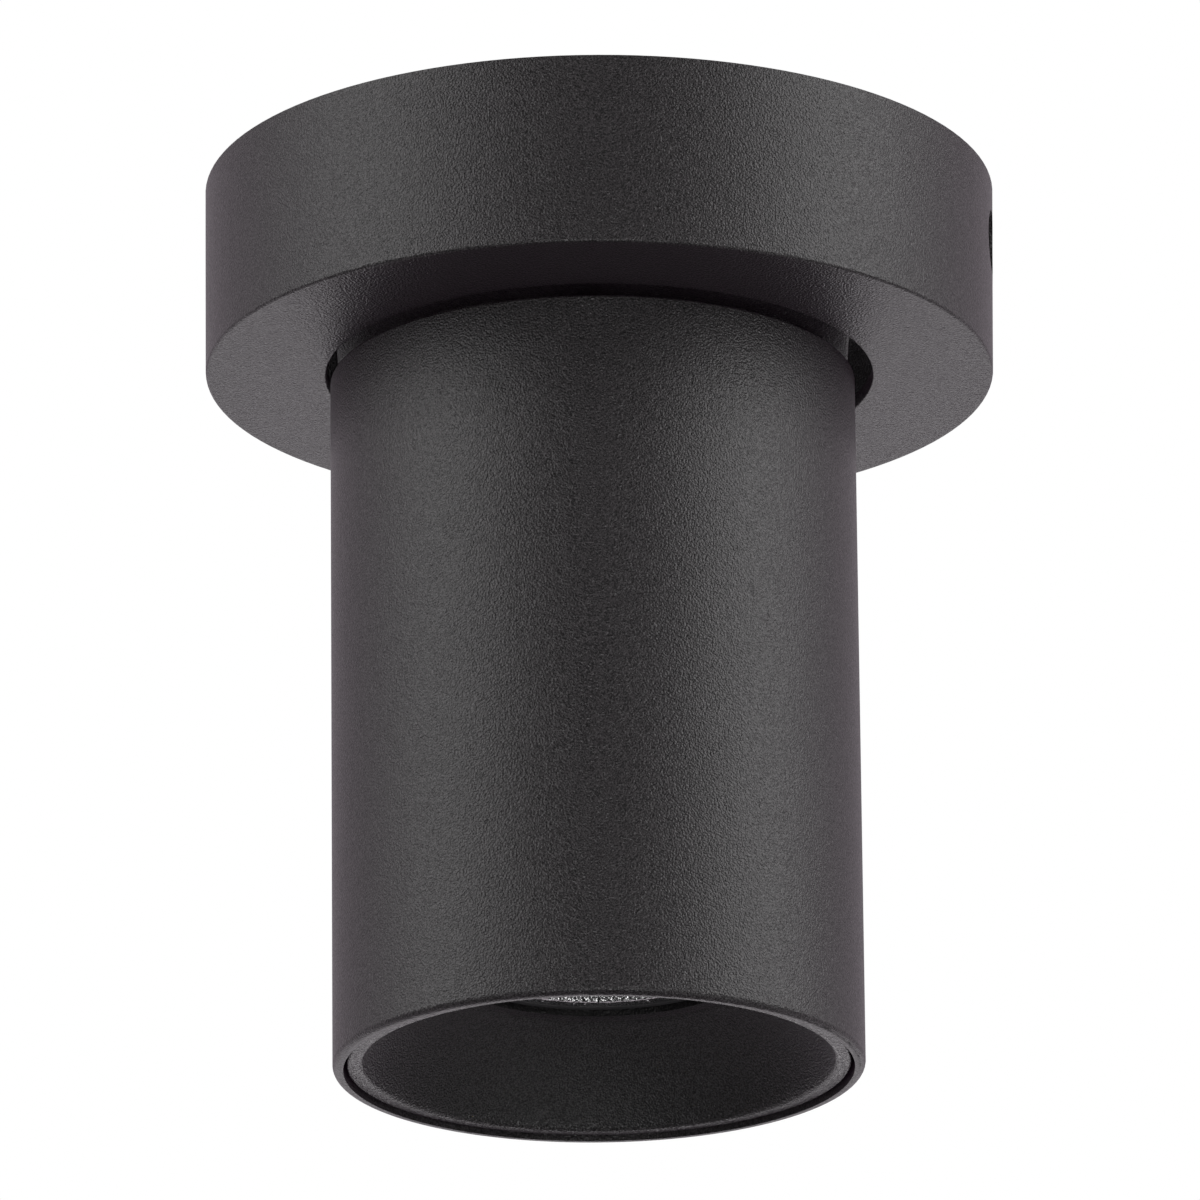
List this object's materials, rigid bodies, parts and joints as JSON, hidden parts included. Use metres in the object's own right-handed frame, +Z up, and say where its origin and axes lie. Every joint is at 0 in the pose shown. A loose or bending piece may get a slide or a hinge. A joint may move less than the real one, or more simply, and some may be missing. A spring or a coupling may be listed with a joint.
{
  "type": "surface mounted ceiling spotlight",
  "caption": "Round ceiling canopy with a black cylinder spotlight head that turns about the vertical and tilts on a hidden rim hinge; deep recessed anti-glare opening.",
  "frame": {"origin": "centre of the ceiling bracket's ceiling face, on the swivel axis, midway between the two fixing slots", "axes": "+Z up into the ceiling, along the swivel axis; the head hangs along -Z; +X to the right as seen from the front, towards the side screw; +Y to the back"},
  "size_m": [0.098, 0.098, 0.1137],
  "materials": {
    "black_powder_coat": "fine textured black powder coat on aluminium",
    "zinc_plated_steel": "zinc plated steel",
    "black_oxide_steel": "blackened steel",
    "black_rubber": "matt black rubber",
    "white_plastic": "white moulded plastic",
    "black_plastic": "black moulded plastic",
    "circuit_board": "green solder mask",
    "component_plastic": "dark component cases",
    "bare_aluminium": "bare machined aluminium",
    "ceramic_white": "white ceramic",
    "phosphor": "yellow phosphor in silicone",
    "silvered": "silvered, lightly faceted",
    "clear_glass": "clear glass",
    "grey_trim": "grey moulded plastic",
    "spring_steel": "spring steel"
  },
  "bodies": {
    "base": {"ceiling_bracket": "zinc_plated_steel", "cable_grommet": "black_rubber", "terminal_block": "white_plastic", "terminal_screws": "zinc_plated_steel", "terminal_fixing_screw": "zinc_plated_steel", "earth_screw": "zinc_plated_steel", "canopy": "black_powder_coat", "side_screws": "black_oxide_steel", "carrier_bridge": "zinc_plated_steel", "carrier_screws": "zinc_plated_steel", "hollow_nipple": "zinc_plated_steel", "nipple_nut": "zinc_plated_steel", "friction_washer": "white_plastic", "wave_washer": "zinc_plated_steel", "thrust_washer": "zinc_plated_steel", "lock_nut": "zinc_plated_steel", "base_lead": "black_rubber"},
    "swivel": {"swivel_disc": "black_powder_coat", "stop_pin": "zinc_plated_steel", "hinge_bracket": "zinc_plated_steel", "hinge_screws": "black_oxide_steel", "hinge_pin": "zinc_plated_steel", "hinge_washers": "white_plastic", "neck_lead": "black_rubber"},
    "head": {"tube_housing": "black_powder_coat", "top_cap": "black_powder_coat", "cap_screws": "black_oxide_steel", "cap_grommet": "black_rubber", "posts": "zinc_plated_steel", "hinge_arm": "zinc_plated_steel", "hinge_arm_screws": "black_oxide_steel", "head_lead": "black_rubber", "driver_case": "black_plastic", "driver_board": "circuit_board", "driver_parts": "component_plastic", "heat_sink": "bare_aluminium", "led_wires": "white_plastic", "led_board": "ceramic_white", "led_emitter": "phosphor", "led_holder": "white_plastic", "holder_screws": "zinc_plated_steel", "reflector": "silvered", "front_glass": "clear_glass", "reflector_ring": "grey_trim", "baffle": "black_plastic", "baffle_clips": "spring_steel"}
  },
  "joints": [
    {"name": "swivel_turn", "type": "hinge", "parent": "base", "child": "swivel", "pos_m": [0, 0, -0.015], "axis": [0, 0, 1], "range_deg": [-170, 170]},
    {"name": "head_tilt", "type": "hinge", "parent": "swivel", "child": "head", "pos_m": [0.02598, 0.015, -0.0269], "axis": [0.5, -0.866, 0], "range_deg": [-0.45, 89.55]}
  ]
}
